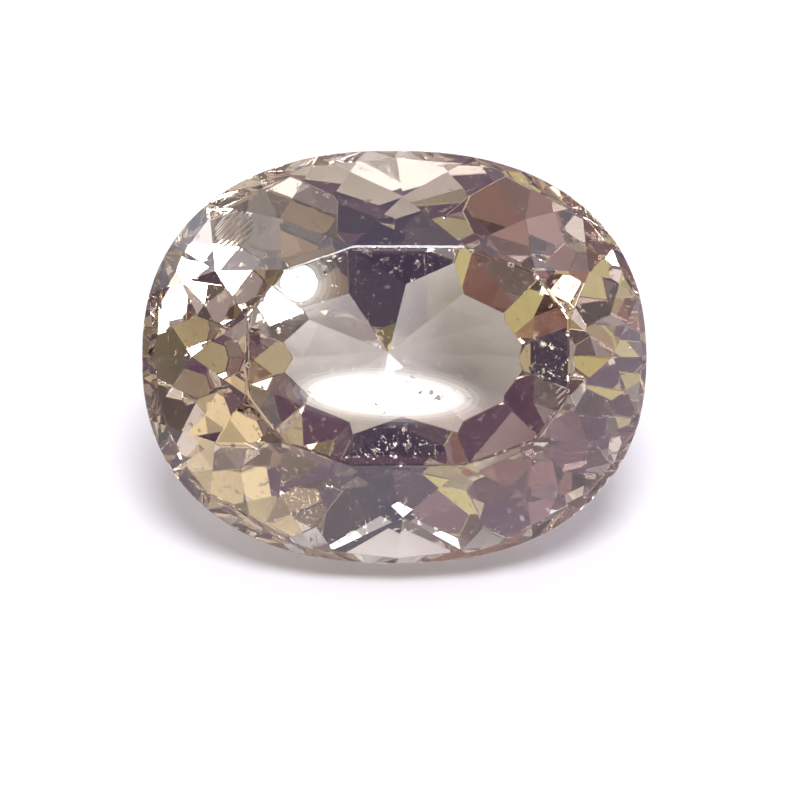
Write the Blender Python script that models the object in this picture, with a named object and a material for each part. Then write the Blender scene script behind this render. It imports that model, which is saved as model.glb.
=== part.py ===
"""A faceted oval kunzite: one clear, pale pink-beige stone that lies on a facet of its underside.

The stone is cut the way a cutter cuts it. A short oval prism is the blank, its wall stays as the girdle,
and every facet is one flat plane cut through the points where it meets its neighbours.
Built with the table up and the long axis along X, then tipped onto the facet that it rests on.
"""

import math

import bmesh
import bpy
from mathutils import Matrix, Vector

MM = 0.001

# The outline, which runs a little fuller than an ellipse.
LENGTH = 14.6 * MM
WIDTH = 11.9 * MM
OUTLINE_FULLNESS = 2.3
GIRDLE_THICKNESS = 0.36 * MM

# The crown: a flat table, a little off the middle, with twelve kites, twelve stars and 24 break facets.
CROWN_FOLDS = 12
CROWN_HEIGHT = 1.95 * MM
TABLE_LENGTH = 9.46 * MM
TABLE_WIDTH = 6.4 * MM
TABLE_FULLNESS = 2.5
TABLE_OFFSET = 0.20 * MM
STAR_TIP_HEIGHT = 1.12 * MM

# The pavilion: 24 steep facets under the girdle, twelve kites, twelve mains, and twelve flatter facets that
# meet in the culet. Each main runs through a point on the shoulder oval and the one below it on the belly oval.
PAVILION_FOLDS = 12
STEEP_DEPTH = 2.0 * MM
PAVILION_KITE_TOP = 1.5 * MM
PAVILION_KITE_BOTTOM = 3.2 * MM
SHOULDER_DEPTH = 1.62 * MM
SHOULDER_LENGTH = 12.9 * MM
SHOULDER_WIDTH = 10.26 * MM
SHOULDER_OFFSET = 0.15 * MM
BELLY_DEPTH = 4.6 * MM
BELLY_LENGTH = 6.6 * MM
BELLY_WIDTH = 4.3 * MM
BELLY_FULLNESS = 2.05
BELLY_OFFSET = 0.5 * MM
CULET_DEPTH = 6.1 * MM
CULET_OFFSET = 0.07 * MM
CULET_SIDEWAYS = 0.15 * MM

# The stone lies on its front main, which is cut a little deeper than the rest and so is the widest.
# That main's slope is also the angle that the table is tipped by.
RESTING_MAIN = 9
RESTING_CUT = 0.10 * MM
RESTING_SLOPE = math.atan2(BELLY_DEPTH - SHOULDER_DEPTH, (SHOULDER_WIDTH - BELLY_WIDTH) / 2)

OUTLINE_SIDES = 96
SNAP_DISTANCE = 0.0002 * MM


def oval_point(length, width, fullness, turn, height, offset=0.0):
    """The point at a turn around an oval: fullness 2 is an ellipse, and more is squarer."""
    across = math.copysign(abs(math.cos(turn)) ** (2 / fullness), math.cos(turn))
    along = math.copysign(abs(math.sin(turn)) ** (2 / fullness), math.sin(turn))
    return Vector((offset + across * length / 2, along * width / 2, height))


def girdle_point(turn, height):
    return oval_point(LENGTH, WIDTH, OUTLINE_FULLNESS, turn, height)


def girdle_tangent(turn):
    """The level direction that the outline runs in at a turn."""
    step = math.radians(0.5)
    return (girdle_point(turn + step, 0) - girdle_point(turn - step, 0)).normalized()


def fold_turn(index, folds):
    """The turn of a fold, where half a fold is allowed."""
    return 2 * math.pi * index / folds


def plane_through(first, second, third):
    """A facet plane through three meeting points, as a point and a normal that faces away from the middle."""
    normal = (second - first).cross(third - first).normalized()
    return first, normal if normal.dot(first) > 0 else -normal


def shared_point(first, second, height):
    """The point where two facet planes and a level meet."""
    rows = Matrix((first[1], second[1], Vector((0, 0, 1))))
    return rows.inverted() @ Vector((first[1].dot(first[0]), second[1].dot(second[0]), height))


def crown_facets():
    """The table, kites, stars and break facets, from the points where they meet."""
    edge_height = GIRDLE_THICKNESS / 2
    table_height = edge_height + CROWN_HEIGHT
    corners = []
    kites = []
    for index in range(CROWN_FOLDS):
        turn = fold_turn(index + 0.5, CROWN_FOLDS)
        corner = oval_point(TABLE_LENGTH, TABLE_WIDTH, TABLE_FULLNESS, turn, table_height, TABLE_OFFSET)
        foot = girdle_point(turn, edge_height)
        corners.append(corner)
        kites.append(plane_through(corner, foot, foot + girdle_tangent(turn) * MM))
    planes = [(Vector((0, 0, table_height)), Vector((0, 0, 1)))] + kites
    for index in range(CROWN_FOLDS):
        star_tip = shared_point(kites[index - 1], kites[index], edge_height + STAR_TIP_HEIGHT)
        planes.append(plane_through(corners[index - 1], corners[index], star_tip))
        planes.extend(girdle_pair(index, CROWN_FOLDS, edge_height, star_tip))
    return planes


def pavilion_facets():
    """The steep pairs, the kites, the mains and the flatter facets, from the points where they meet."""
    edge_height = -GIRDLE_THICKNESS / 2
    culet = Vector((CULET_OFFSET, CULET_SIDEWAYS, edge_height - CULET_DEPTH))
    tips = []
    mains = []
    for index in range(PAVILION_FOLDS):
        turn = fold_turn(index, PAVILION_FOLDS)
        across = Vector((-math.sin(turn), math.cos(turn), 0))
        depth = edge_height - BELLY_DEPTH
        tip = oval_point(BELLY_LENGTH, BELLY_WIDTH, BELLY_FULLNESS, turn, depth, BELLY_OFFSET)
        depth = edge_height - SHOULDER_DEPTH
        shoulder = oval_point(SHOULDER_LENGTH, SHOULDER_WIDTH, OUTLINE_FULLNESS, turn, depth, SHOULDER_OFFSET)
        tips.append(tip)
        mains.append(plane_through(tip, shoulder, shoulder + across * MM))
    planes = list(mains)
    point, normal = mains[RESTING_MAIN]
    planes.append((point - normal * RESTING_CUT, normal))
    for index in range(PAVILION_FOLDS):
        planes.append(plane_through(culet, tips[index - 1], tips[index]))
        meeting = shared_point(mains[index - 1], mains[index], edge_height - STEEP_DEPTH)
        pair = girdle_pair(index - 0.5, PAVILION_FOLDS, edge_height, meeting)
        planes.extend(pair)
        bottom = shared_point(mains[index - 1], mains[index], edge_height - PAVILION_KITE_BOTTOM)
        top = shared_point(pair[0], pair[1], edge_height - PAVILION_KITE_TOP)
        across = girdle_tangent(fold_turn(index - 0.5, PAVILION_FOLDS))
        planes.append(plane_through(bottom, top, top + across * MM))
    return planes


def girdle_pair(index, folds, edge_height, meeting):
    """Two facets side by side, from half a fold of girdle each to one meeting point."""
    left = girdle_point(fold_turn(index - 0.5, folds), edge_height)
    middle = girdle_point(fold_turn(index, folds), edge_height)
    right = girdle_point(fold_turn(index + 0.5, folds), edge_height)
    return [plane_through(left, middle, meeting), plane_through(middle, right, meeting)]


def oval_blank():
    """The blank: a prism with the stone's outline, taller than the stone."""
    blank = bmesh.new()
    top = GIRDLE_THICKNESS + CROWN_HEIGHT
    bottom = -GIRDLE_THICKNESS - CULET_DEPTH
    turns = [2 * math.pi * side / OUTLINE_SIDES for side in range(OUTLINE_SIDES)]
    blank.faces.new([blank.verts.new(girdle_point(turn, bottom)) for turn in turns])
    raised = bmesh.ops.extrude_face_region(blank, geom=blank.faces[:])
    raised_verts = [item for item in raised["geom"] if isinstance(item, bmesh.types.BMVert)]
    bmesh.ops.translate(blank, verts=raised_verts, vec=(0, 0, top - bottom))
    bmesh.ops.recalc_face_normals(blank, faces=blank.faces)
    return blank


def cut_facet(stone, plane):
    """Cuts away what lies outside one plane, and closes the cut with the facet's flat face."""
    geometry = stone.verts[:] + stone.edges[:] + stone.faces[:]
    bmesh.ops.bisect_plane(
        stone, geom=geometry, dist=SNAP_DISTANCE, plane_co=plane[0], plane_no=plane[1], clear_outer=True
    )
    open_edges = [edge for edge in stone.edges if edge.is_boundary]
    bmesh.ops.edgeloop_fill(stone, edges=open_edges)


def resting_pose(stone):
    """Tips the stone onto its front main, then puts its lowest point at zero and its box's middle at X and Y zero."""
    stone.transform(Matrix.Rotation(RESTING_SLOPE, 4, "X"))
    lows = Vector([min(vert.co[axis] for vert in stone.verts) for axis in range(3)])
    highs = Vector([max(vert.co[axis] for vert in stone.verts) for axis in range(3)])
    middle = (lows + highs) / 2
    stone.transform(Matrix.Translation((-middle.x, -middle.y, -lows.z)))


def kunzite_material():
    """Clear stone with a pale pink-beige tint and a high polish."""
    material = bpy.data.materials.new("kunzite")
    material.use_nodes = True
    shader = material.node_tree.nodes["Principled BSDF"]
    shader.inputs["Base Color"].default_value = (0.78, 0.62, 0.55, 1.0)
    shader.inputs["Roughness"].default_value = 0.03
    shader.inputs["Metallic"].default_value = 0.0
    shader.inputs["IOR"].default_value = 1.67
    shader.inputs["Transmission Weight"].default_value = 1.0
    material.diffuse_color = (0.78, 0.62, 0.55, 1.0)
    return material


def cut_stone():
    stone = oval_blank()
    for plane in crown_facets() + pavilion_facets():
        cut_facet(stone, plane)
    bmesh.ops.recalc_face_normals(stone, faces=stone.faces)
    resting_pose(stone)
    mesh = bpy.data.meshes.new("kunzite")
    stone.to_mesh(mesh)
    stone.free()
    mesh.materials.append(kunzite_material())
    kunzite = bpy.data.objects.new("kunzite", mesh)
    bpy.context.scene.collection.objects.link(kunzite)


for old in list(bpy.data.objects):
    bpy.data.objects.remove(old, do_unlink=True)
cut_stone()
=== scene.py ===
import math
import random

import bmesh
import bpy
from mathutils import Euler, Matrix, Quaternion, Vector


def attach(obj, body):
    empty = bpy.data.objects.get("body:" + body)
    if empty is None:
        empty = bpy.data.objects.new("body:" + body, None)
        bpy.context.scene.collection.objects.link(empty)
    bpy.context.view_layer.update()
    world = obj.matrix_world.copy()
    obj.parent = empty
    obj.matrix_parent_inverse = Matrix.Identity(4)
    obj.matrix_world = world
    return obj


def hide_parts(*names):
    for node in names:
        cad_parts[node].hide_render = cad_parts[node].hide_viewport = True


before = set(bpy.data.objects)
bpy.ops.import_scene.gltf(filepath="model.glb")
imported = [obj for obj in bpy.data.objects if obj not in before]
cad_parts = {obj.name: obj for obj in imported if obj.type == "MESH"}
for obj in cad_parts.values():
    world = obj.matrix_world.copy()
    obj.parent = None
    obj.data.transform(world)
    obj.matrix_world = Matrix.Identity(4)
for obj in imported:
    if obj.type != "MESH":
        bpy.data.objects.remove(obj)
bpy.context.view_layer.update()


# The stone is one piece of kunzite, the pale pink spodumene. It is sawn, ground to an oval, cut facet by
# facet against a lap and polished, and it lies loose on a facet of its underside.
# Its facet edges have lost their keenness to wear, and its girdle keeps the fine grind and a few small chips.
MM = 0.001
MERGE_DISTANCE = 0.0005 * MM
SAME_FACET = math.radians(0.4)
KEEN_EDGE = math.radians(12)
WORN_EDGE = 0.024 * MM
TABLE_EDGE = 0.055 * MM
GIRDLE_LEAN = 0.05
POLISHED, GROUND, WORN = 0, 1, 2

cut_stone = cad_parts["kunzite"].data
table_normal = max(cut_stone.polygons, key=lambda face: face.normal.z - face.normal.y).normal.copy()

stone = bmesh.new()
stone.from_mesh(cut_stone)
bmesh.ops.remove_doubles(stone, verts=stone.verts, dist=MERGE_DISTANCE)
bmesh.ops.dissolve_limit(stone, angle_limit=SAME_FACET, verts=stone.verts, edges=stone.edges)
table = max(stone.faces, key=lambda face: face.calc_area())
for face in stone.faces:
    face.material_index = GROUND if abs(face.normal.dot(table_normal)) < GIRDLE_LEAN else POLISHED


def wear_edges(edges, width):
    """Rounds facet edges over, and gives the rounding the worn finish."""
    worn = bmesh.ops.bevel(
        stone, geom=edges, offset=width, offset_type="OFFSET", affect="EDGES",
        segments=2, profile=0.5, material=-1, clamp_overlap=True,
    )
    for face in worn["faces"]:
        face.material_index = WORN


wear_edges(list(table.edges), TABLE_EDGE)
wear_edges([edge for edge in stone.edges if edge.calc_face_angle(0) > KEEN_EDGE], WORN_EDGE)

# Small shell-shaped chips have come off the girdle, most of them at its lower right, and nicks off the table's
# edge. Each is bitten out by a small ball. Turns are in degrees round the stone from its right end, radii in mm,
# and depths a share of the ball's radius.
GIRDLE_CHIPS = (
    # turn, how many, largest radius
    (-28, 9, 0.26),
    (-60, 3, 0.14),
    (20, 3, 0.14),
    (150, 3, 0.14),
    (205, 3, 0.12),
)
CHIP_SPREAD = 13
CHIP_LEAN = (0.5, 1.3)
CHIP_SLIDE = 0.25 * MM
CHIP_DEPTH = 0.3
NICKS_RIGHT, NICKS_LEFT = 3, 1
NICK_RADIUS = (0.05, 0.12)
NICK_LEAN = 0.6
NICK_DEPTH = 0.35
stone_middle = Vector((0, -0.283, 4.80)) * MM
along_width = table_normal.cross(Vector((1, 0, 0)))
luck = random.Random(11)


def bite(cutters, spot, outward, radius, depth):
    """Adds the ball that bites a chip out of the stone at a spot, to a share of the ball's radius."""
    centre = spot + outward.normalized() * (radius - radius * depth)
    tumble = Euler([luck.uniform(0, 3) for _ in range(3)]).to_matrix().to_4x4()
    bmesh.ops.create_icosphere(cutters, subdivisions=2, radius=radius, matrix=Matrix.Translation(centre) @ tumble)


cutters = bmesh.new()
girdle_spots = [
    vert.co.copy() for vert in stone.verts if any(face.material_index == GROUND for face in vert.link_faces)
]
for turn, count, largest in GIRDLE_CHIPS:
    for _ in range(count):
        angle = math.radians(turn + luck.uniform(-CHIP_SPREAD, CHIP_SPREAD))
        towards = Vector((1, 0, 0)) * math.cos(angle) + along_width * math.sin(angle)
        spot = max(girdle_spots, key=lambda place: (place - stone_middle).normalized().dot(towards))
        outward = towards + table_normal * luck.uniform(*CHIP_LEAN)
        radius = largest * luck.uniform(0.5, 1.0) * MM
        slide = towards.cross(table_normal) * luck.uniform(-CHIP_SLIDE, CHIP_SLIDE)
        bite(cutters, spot + slide, outward, radius, CHIP_DEPTH)
table_corners = [vert.co.copy() for vert in max(stone.faces, key=lambda face: face.calc_area()).verts]
for index, corner in enumerate(table_corners):
    following = table_corners[(index + 1) % len(table_corners)]
    for _ in range(NICKS_RIGHT if corner.x > 0 else NICKS_LEFT):
        spot = corner.lerp(following, luck.random())
        radius = luck.uniform(*NICK_RADIUS) * MM
        bite(cutters, spot, table_normal + (spot - stone_middle).normalized() * NICK_LEAN, radius, NICK_DEPTH)
for face in cutters.faces:
    face.material_index = WORN

cutter_mesh = bpy.data.meshes.new("chip cutters")
cutters.to_mesh(cutter_mesh)
cutters.free()
chip_cutters = bpy.data.objects.new("chip cutters", cutter_mesh)
whole_mesh = bpy.data.meshes.new("whole stone")
stone.to_mesh(whole_mesh)
stone.free()
kunzite_stone = bpy.data.objects.new("stone", whole_mesh)


def linear(hex_colour):
    """An sRGB hex colour as the linear colour that the nodes take."""
    parts = [int(hex_colour[start:start + 2], 16) / 255 for start in (1, 3, 5)]
    return [part / 12.92 if part <= 0.04045 else ((part + 0.055) / 1.055) ** 2.4 for part in parts] + [1.0]


def add_node(tree, kind, settings=None, **links):
    """Adds a node with its settings, and sets or links its sockets by name, or by number as n0, n1 and so on."""
    node = tree.nodes.new(kind)
    for name, value in (settings or {}).items():
        setattr(node, name, value)
    for name, value in links.items():
        key = int(name[1:]) if name[0] == "n" and name[1:].isdigit() else name.replace("_", " ")
        if isinstance(value, bpy.types.NodeSocket):
            tree.links.new(value, node.inputs[key])
        else:
            node.inputs[key].default_value = value
    return node


# Kunzite is clear and takes a glassy polish. Its colour turns with direction, so it looks olive at one end,
# pale pink-beige in the middle and mauve at the other, with drifting borders. An olive-grey patch low at the back
# is
# painted shade: it stands for the stone's own shadow on the paper, as that shows through the middle of the stone.
# The girdle is left as ground, which frosts it, and wear makes the facet edges hazy. The body colour deepens
# with the way that light takes through the stone, pinker and browner where that is long.
KUNZITE_IOR = 1.667
HALF_LENGTH = 7.3 * MM
CLOUD_SIZE = 2.4 * MM
CLOUD_DRIFT = 1.6 * MM
# The patch of painted shade: where it sits, how far it reaches, how strongly and in what colour.
PAINTED_SHADE_CENTRE = Vector((3.0, 3.8, 1.9)) * MM
PAINTED_SHADE_RADIUS = 3.3 * MM
PAINTED_SHADE_STRENGTH = 0.85
PAINTED_SHADE_COLOUR = "#7E7C60"
GRIT_SIZE = 0.12 * MM
DEPTH_COLOUR = "#E7DDD2"
DEPTH_DENSITY = 75.0


def kunzite_finish(name, transmission, left, middle, right, smoothest, roughest):
    """Clear kunzite with one of the finishes that cutting leaves, tinted along the stone's length, with painted
    shade low at the back.
    """
    finish = bpy.data.materials.new(name)
    finish.use_nodes = True
    tree = finish.node_tree
    shader = tree.nodes["Principled BSDF"]
    shader.inputs["Metallic"].default_value = 0.0
    shader.inputs["IOR"].default_value = KUNZITE_IOR
    shader.inputs["Transmission Weight"].default_value = transmission

    place = add_node(tree, "ShaderNodeTexCoord").outputs["Object"]
    along = add_node(tree, "ShaderNodeSeparateXYZ", Vector=place).outputs["X"]
    cloud = add_node(tree, "ShaderNodeTexNoise", Vector=place, Scale=1 / CLOUD_SIZE, Detail=2.0)
    drift = add_node(
        tree, "ShaderNodeMapRange", Value=cloud.outputs["Fac"], From_Min=0.3, From_Max=0.7,
        To_Min=-CLOUD_DRIFT, To_Max=CLOUD_DRIFT,
    )
    drifted = add_node(tree, "ShaderNodeMath", {"operation": "ADD"}, n0=along, n1=drift.outputs["Result"])
    share = add_node(
        tree, "ShaderNodeMapRange", Value=drifted.outputs["Value"], From_Min=-HALF_LENGTH, From_Max=HALF_LENGTH,
    )
    tint = add_node(tree, "ShaderNodeValToRGB", Fac=share.outputs["Result"])
    tint.color_ramp.elements[0].position = 0.12
    tint.color_ramp.elements[0].color = linear(left)
    tint.color_ramp.elements[1].position = 0.88
    tint.color_ramp.elements[1].color = linear(right)
    tint.color_ramp.elements.new(0.5).color = linear(middle)

    # Painted shade: an olive-grey patch low at the back darkens the colour where the stone's shadow on the paper
    # shows through.
    from_painted_shade = add_node(tree, "ShaderNodeVectorMath", {"operation": "DISTANCE"}, n0=place, n1=PAINTED_SHADE_CENTRE)
    painted_shade = add_node(
        tree, "ShaderNodeMapRange", {"interpolation_type": "SMOOTHSTEP"}, Value=from_painted_shade.outputs["Value"],
        From_Min=PAINTED_SHADE_RADIUS, From_Max=0.35 * PAINTED_SHADE_RADIUS, To_Min=0.0, To_Max=PAINTED_SHADE_STRENGTH,
    )
    shade_tinted = add_node(
        tree, "ShaderNodeMix", {"data_type": "RGBA"},
        n0=painted_shade.outputs["Result"], n6=tint.outputs["Color"], n7=linear(PAINTED_SHADE_COLOUR),
    )
    tree.links.new(shade_tinted.outputs[2], shader.inputs["Base Color"])

    grit = add_node(tree, "ShaderNodeTexNoise", Vector=place, Scale=1 / GRIT_SIZE, Detail=3.0)
    roughness = add_node(
        tree, "ShaderNodeMapRange", Value=grit.outputs["Fac"], From_Min=0.35, From_Max=0.65,
        To_Min=smoothest, To_Max=roughest,
    )
    tree.links.new(roughness.outputs["Result"], shader.inputs["Roughness"])

    absorption = add_node(tree, "ShaderNodeVolumeAbsorption")
    absorption.inputs["Color"].default_value = linear(DEPTH_COLOUR)
    absorption.inputs["Density"].default_value = DEPTH_DENSITY
    tree.links.new(absorption.outputs["Volume"], tree.nodes["Material Output"].inputs["Volume"])
    return finish


polished = kunzite_finish(
    "polished kunzite", transmission=1.0, left="#ECE9D2", middle="#F8F5EE", right="#F1E3E2",
    smoothest=0.0, roughest=0.008,
)
ground = kunzite_finish(
    "ground kunzite", transmission=0.4, left="#F1E8DE", middle="#F5E8E6", right="#EBD8DA",
    smoothest=0.35, roughest=0.5,
)
worn = kunzite_finish(
    "worn kunzite edge", transmission=0.45, left="#F2EFE6", middle="#F4F1EE", right="#EFE6E6",
    smoothest=0.2, roughest=0.6,
)

# Handling marks on the polish: hazy specks, hairlines, and a patch of parallel polishing lines on one upper left
# facet. The lines are drawn a little coarser than real ones, or they would not show.
SPECK_SPACING = 0.3 * MM
HAIR_SPACING = 1.1 * MM
HAIR_TURN = (0.5, 0.3, 0.7)
HAIR_STRETCH = (14, 0.5, 14)
LINES_CENTRE = Vector((-4.73, 1.68, 8.03)) * MM
LINES_RADIUS = 0.62 * MM
LINE_SPACING = 0.13 * MM
LINE_RELIEF = 0.006 * MM
ACROSS_LINES = Vector((0.707, -0.5, -0.5))

tree = polished.node_tree
shader = tree.nodes["Principled BSDF"]
place = add_node(tree, "ShaderNodeTexCoord").outputs["Object"]
dust = add_node(tree, "ShaderNodeTexNoise", Vector=place, Scale=1 / SPECK_SPACING, Detail=2.0)
specks = add_node(
    tree, "ShaderNodeMapRange", Value=dust.outputs["Fac"], From_Min=0.66, From_Max=0.71, To_Min=0.0, To_Max=0.22,
)
drawn_out = add_node(tree, "ShaderNodeMapping", Vector=place, Rotation=HAIR_TURN, Scale=HAIR_STRETCH)
hairs = add_node(tree, "ShaderNodeTexNoise", Vector=drawn_out.outputs["Vector"], Scale=1 / HAIR_SPACING, Detail=1.0)
hairlines = add_node(
    tree, "ShaderNodeMapRange", Value=hairs.outputs["Fac"], From_Min=0.70, From_Max=0.74, To_Min=0.0, To_Max=0.12,
)
off_centre = add_node(tree, "ShaderNodeVectorMath", {"operation": "DISTANCE"}, n0=place, n1=LINES_CENTRE)
near_lines = add_node(
    tree, "ShaderNodeMapRange", Value=off_centre.outputs["Value"],
    From_Min=LINES_RADIUS, From_Max=0.8 * LINES_RADIUS, To_Min=0.0, To_Max=1.0,
)
across = add_node(
    tree, "ShaderNodeVectorMath", {"operation": "DOT_PRODUCT"},
    n0=place, n1=ACROSS_LINES * (2 * math.pi / LINE_SPACING),
)
ripple = add_node(tree, "ShaderNodeMath", {"operation": "SINE"}, n0=across.outputs["Value"])
lines = add_node(
    tree, "ShaderNodeMath", {"operation": "MULTIPLY"},
    n0=ripple.outputs["Value"], n1=near_lines.outputs["Result"],
)
line_haze = add_node(
    tree, "ShaderNodeMapRange", Value=lines.outputs["Value"], From_Min=0.2, From_Max=0.6, To_Min=0.0, To_Max=0.3,
)
haze = specks.outputs["Result"]
for mark in (hairlines, line_haze):
    stronger = add_node(tree, "ShaderNodeMath", {"operation": "MAXIMUM"}, n0=haze, n1=mark.outputs["Result"])
    haze = stronger.outputs["Value"]
polish = shader.inputs["Roughness"].links[0].from_socket
marked = add_node(tree, "ShaderNodeMath", {"operation": "ADD"}, n0=polish, n1=haze)
tree.links.new(marked.outputs["Value"], shader.inputs["Roughness"])
relief = add_node(tree, "ShaderNodeBump", Height=lines.outputs["Value"], Strength=0.6, Distance=LINE_RELIEF)
tree.links.new(relief.outputs["Normal"], shader.inputs["Normal"])

for mesh in (whole_mesh, cutter_mesh):
    mesh.materials.clear()
    for finish in (polished, ground, worn):
        mesh.materials.append(finish)

bpy.context.scene.collection.objects.link(kunzite_stone)
bpy.context.scene.collection.objects.link(chip_cutters)
chipping = kunzite_stone.modifiers.new("chips", "BOOLEAN")
chipping.operation = "DIFFERENCE"
chipping.solver = "EXACT"
chipping.use_self = True
chipping.object = chip_cutters
bpy.context.view_layer.update()
chipped = bpy.data.meshes.new_from_object(kunzite_stone.evaluated_get(bpy.context.evaluated_depsgraph_get()))
kunzite_stone.modifiers.clear()
kunzite_stone.data = chipped
bpy.data.objects.remove(chip_cutters, do_unlink=True)
bpy.data.meshes.remove(cutter_mesh)
bpy.data.meshes.remove(whole_mesh)
chipped.name = "stone"
for face in chipped.polygons:
    face.use_smooth = False

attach(kunzite_stone, "root")
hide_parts("kunzite")


# The floor is a plain sheet of matt white paper, wide enough to carry the view from any side.
# It lies a hair below the stone, as a polished facet on paper keeps a film of air that light turns back at.
FLOOR_RADIUS = 400 * MM
AIR_FILM = 0.02 * MM

paper_mesh = bpy.data.meshes.new("floor")
paper = bmesh.new()
bmesh.ops.create_circle(paper, cap_ends=True, segments=96, radius=FLOOR_RADIUS)
bmesh.ops.translate(paper, verts=paper.verts, vec=(0, 0, -AIR_FILM))
paper.to_mesh(paper_mesh)
paper.free()
floor = bpy.data.objects.new("floor", paper_mesh)
bpy.context.scene.collection.objects.link(floor)

# Uncoated paper is matted fibre, so it scatters light evenly and has next to no shine.
paper_white = bpy.data.materials.new("matt white paper")
paper_white.use_nodes = True
shader = paper_white.node_tree.nodes["Principled BSDF"]
shader.inputs["Base Color"].default_value = linear("#F4F2F3")
shader.inputs["Roughness"].default_value = 0.9
shader.inputs["Specular IOR Level"].default_value = 0.1
paper_mesh.materials.append(paper_white)


# The light is a set of soft lamps round the stone: one large softbox overhead, and small ones that single facets
# pick up. Directions are the azimuth round the stone, 0 at the front and 90 at its right, and the elevation.
LAMP_DISTANCE = 600 * MM


def direction(azimuth, elevation):
    """The unit vector towards an azimuth and an elevation, both in degrees."""
    turn, rise = math.radians(azimuth), math.radians(elevation)
    return Vector((math.sin(turn) * math.cos(rise), -math.cos(turn) * math.cos(rise), math.sin(rise)))


def soft_lamp(name, place, back, turn, width, height, radiance, colour):
    """An oval soft lamp with its back turned one way. Radiance is how bright its face looks."""
    lamp = bpy.data.lights.new(name, "AREA")
    lamp.shape = "ELLIPSE"
    lamp.size = width
    lamp.size_y = height
    lamp.energy = radiance * math.pi * math.pi * (width / 2) * (height / 2)
    lamp.color = linear(colour)[:3]
    holder = bpy.data.objects.new(name, lamp)
    holder.location = place
    holder.rotation_mode = "QUATERNION"
    holder.rotation_quaternion = back.to_track_quat("Z", "Y") @ Quaternion((0, 0, 1), math.radians(turn))
    bpy.context.scene.collection.objects.link(holder)


for name, azimuth, elevation, width, radiance, colour in (
    ("top softbox", 0, 84, 300 * MM, 12, "#F8FAFF"),
    ("back softbox", 172, 64, 150 * MM, 4.0, "#FBF5FF"),
    ("side window", 92, 48, 130 * MM, 1.5, "#DDE8FF"),
    ("upper pane", 70, 60, 50 * MM, 2.0, "#FFF4F6"),
    ("left pane", -72, 30, 60 * MM, 3.0, "#FFF6F0"),
    ("low pane right", 50, 18, 50 * MM, 5.0, "#FFF8E8"),
    ("low pane front", 26, 3, 60 * MM, 4.0, "#FFF8E0"),
):
    back = direction(azimuth, elevation)
    soft_lamp(name, stone_middle + back * LAMP_DISTANCE, back, 0, width, width, radiance, colour)


# The room round the stone is dim and softly coloured, pale behind the stone and darkest towards the camera's side.
# Each facet shows one small part of it, and so takes that part's tone. Its colours are light, not paint.
world = bpy.data.worlds.new("room")
bpy.context.scene.world = world
world.use_nodes = True
tree = world.node_tree
sight = add_node(tree, "ShaderNodeTexCoord").outputs["Generated"]


def room_part(below, azimuth, elevation, half_width, softness, colour):
    """Blends a colour into the room round one direction, and returns the new colour. Angles are in degrees."""
    nearness = add_node(
        tree, "ShaderNodeVectorMath", {"operation": "DOT_PRODUCT"}, n0=sight, n1=direction(azimuth, elevation),
    )
    outer = math.cos(math.radians(half_width + softness / 2))
    inner = math.cos(math.radians(max(half_width - softness / 2, 0)))
    share = add_node(
        tree, "ShaderNodeMapRange", {"interpolation_type": "SMOOTHSTEP"},
        Value=nearness.outputs["Value"], From_Min=outer, From_Max=inner, To_Min=0.0, To_Max=1.0,
    )
    blend = add_node(
        tree, "ShaderNodeMix", {"data_type": "RGBA"}, n0=share.outputs["Result"], n6=below, n7=(*colour, 1.0),
    )
    return blend.outputs[2]


room = (0.58, 0.60, 0.66, 1.0)
for part in (
    # azimuth, elevation, half width, softness, colour
    (0, 90, 45, 60, (0.28, 0.26, 0.30)),  # the dim ceiling
    (70, 20, 32, 30, (0.28, 0.22, 0.17)),  # brown at the right
    (25, 0, 24, 16, (0.80, 0.72, 0.50)),  # straw yellow low in front
    (-55, 12, 24, 20, (0.25, 0.17, 0.24)),  # mauve at the front left
    (-75, 45, 26, 20, (0.23, 0.12, 0.11)),  # reddish brown above it
    (180, 0, 84, 16, (1.7, 1.8, 2.1)),  # the lit backdrop behind the stone
    (180, 36, 45, 20, (0.55, 0.53, 0.58)),  # the grey wall above the backdrop
):
    room = room_part(room, *part)

# Furniture and shelves break the room up, which keeps neighbouring facets apart in tone.
clutter = add_node(tree, "ShaderNodeTexNoise", Vector=sight, Scale=8.0, Detail=1.0)
mottle = add_node(
    tree, "ShaderNodeMapRange", Value=clutter.outputs["Fac"], From_Min=0.38, From_Max=0.62, To_Min=0.35, To_Max=1.8,
)
mottled = add_node(tree, "ShaderNodeVectorMath", {"operation": "SCALE"}, n0=room, Scale=mottle.outputs["Result"])
room = mottled.outputs[0]
for part in (
    (-42, 54, 11, 6, (0.80, 0.76, 0.42)),  # yellow-green, for the facets at the right
    (-20, 40, 7, 5, (0.68, 0.62, 0.42)),  # olive, for the left middle
    (-18, 54, 7, 5, (0.30, 0.21, 0.27)),  # dull mauve between the two
    (-34, 22, 13, 8, (0.15, 0.09, 0.17)),  # three dark violet parts, for the teeth under the window
    (0, 24, 15, 8, (0.15, 0.09, 0.17)),
    (34, 24, 12, 8, (0.15, 0.09, 0.17)),
    (12, 47, 19, 8, (0.075, 0.06, 0.12)),  # near black, for the wedge above the window
):
    room = room_part(room, *part)
tree.links.new(room, tree.nodes["Background"].inputs["Color"])

# Light turns back many times inside a cut stone before it finds a way out, or facets near the rim go black.
MOST_BOUNCES = 20
bpy.context.scene.cycles.max_bounces = MOST_BOUNCES
bpy.context.scene.cycles.transmission_bounces = MOST_BOUNCES
bpy.context.scene.cycles.glossy_bounces = MOST_BOUNCES


# The camera looks almost straight at the table, a little from its left, through a long lens. Its picture takes
# in a square of PICTURE_WIDTH at the stone, which sets the lens.
CAMERA_DISTANCE = 150 * MM
CAMERA_LEFT = math.radians(5.0)
PICTURE_WIDTH = 23.08 * MM
AIM_RIGHT = 0.144 * MM
AIM_DOWN = 1.24 * MM
SENSOR_WIDTH = 36

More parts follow.
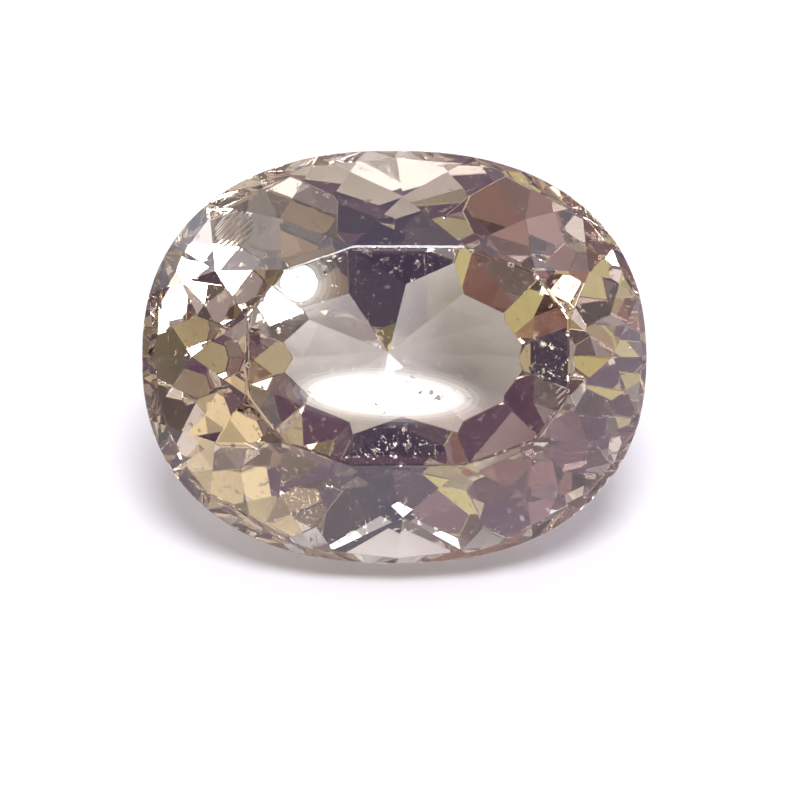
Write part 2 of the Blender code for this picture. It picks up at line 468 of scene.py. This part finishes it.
view_back = (table_normal * math.cos(CAMERA_LEFT) - Vector((1, 0, 0)) * math.sin(CAMERA_LEFT)).normalized()
view_right = (Vector((1, 0, 0)) - view_back * view_back.x).normalized()
view_up = view_back.cross(view_right)
aim = stone_middle + view_right * AIM_RIGHT - view_up * AIM_DOWN
eye = aim + view_back * CAMERA_DISTANCE

camera_data = bpy.data.cameras.new("camera")
camera_data.sensor_width = SENSOR_WIDTH
camera_data.lens = SENSOR_WIDTH * CAMERA_DISTANCE / PICTURE_WIDTH
camera_data.clip_start = 5 * MM
camera_data.clip_end = 5
camera = bpy.data.objects.new("camera", camera_data)
facing = Matrix((view_right, view_up, view_back)).transposed().to_4x4()
camera.matrix_world = Matrix.Translation(eye) @ facing
bpy.context.scene.collection.objects.link(camera)
bpy.context.scene.camera = camera
bpy.context.scene.view_settings.view_transform = "Standard"


# Two small lamps hang over the camera's shoulder, where the table mirrors them: a bare one is the hard glint at its
# upper left, and a shaded one the white sheen across its lower half. Each fades out in rings, the smallest nearest,
# set a little apart so that none hides another.
MIRRORED_DISTANCE = 400 * MM
GLOW_RINGS = 7
GLOW_FADE = 1.5
RING_GAP = 1.0 * MM
LAMP_WHITE = "#FFFEFC"

table_point = max(kunzite_stone.data.polygons, key=lambda face: face.area).center


def mirrored_lamp(name, right, up, turn, core, edge, core_radiance, glow_radiance):
    """Hangs a lamp so that the table shows it right of and above the stone's middle by so much.
    Core and edge are widths and heights, and the glow fades from the one to the other."""
    sight_line = (stone_middle + view_right * right + view_up * up - eye).normalized()
    glint = eye + sight_line * ((table_point - eye).dot(table_normal) / sight_line.dot(table_normal))
    away = sight_line - table_normal * 2 * sight_line.dot(table_normal)
    for ring in range(GLOW_RINGS + 1):
        share = ring / GLOW_RINGS
        width = core[0] + (edge[0] - core[0]) * share
        height = core[1] + (edge[1] - core[1]) * share
        radiance = glow_radiance * (1 - (ring - 0.5) / GLOW_RINGS) ** GLOW_FADE if ring else core_radiance
        place = glint + away * (MIRRORED_DISTANCE + ring * RING_GAP)
        soft_lamp(name, place, away, turn, width, height, radiance, LAMP_WHITE)


mirrored_lamp(
    "bare lamp", right=-2.77 * MM, up=2.13 * MM, turn=0, core=(3.8 * MM, 3.8 * MM), edge=(11.0 * MM, 11.0 * MM),
    core_radiance=90, glow_radiance=2.4,
)
mirrored_lamp(
    "shaded lamp", right=-0.25 * MM, up=-1.10 * MM, turn=-8, core=(12.0 * MM, 2.4 * MM), edge=(23 * MM, 7.0 * MM),
    core_radiance=8.0, glow_radiance=8.0,
)
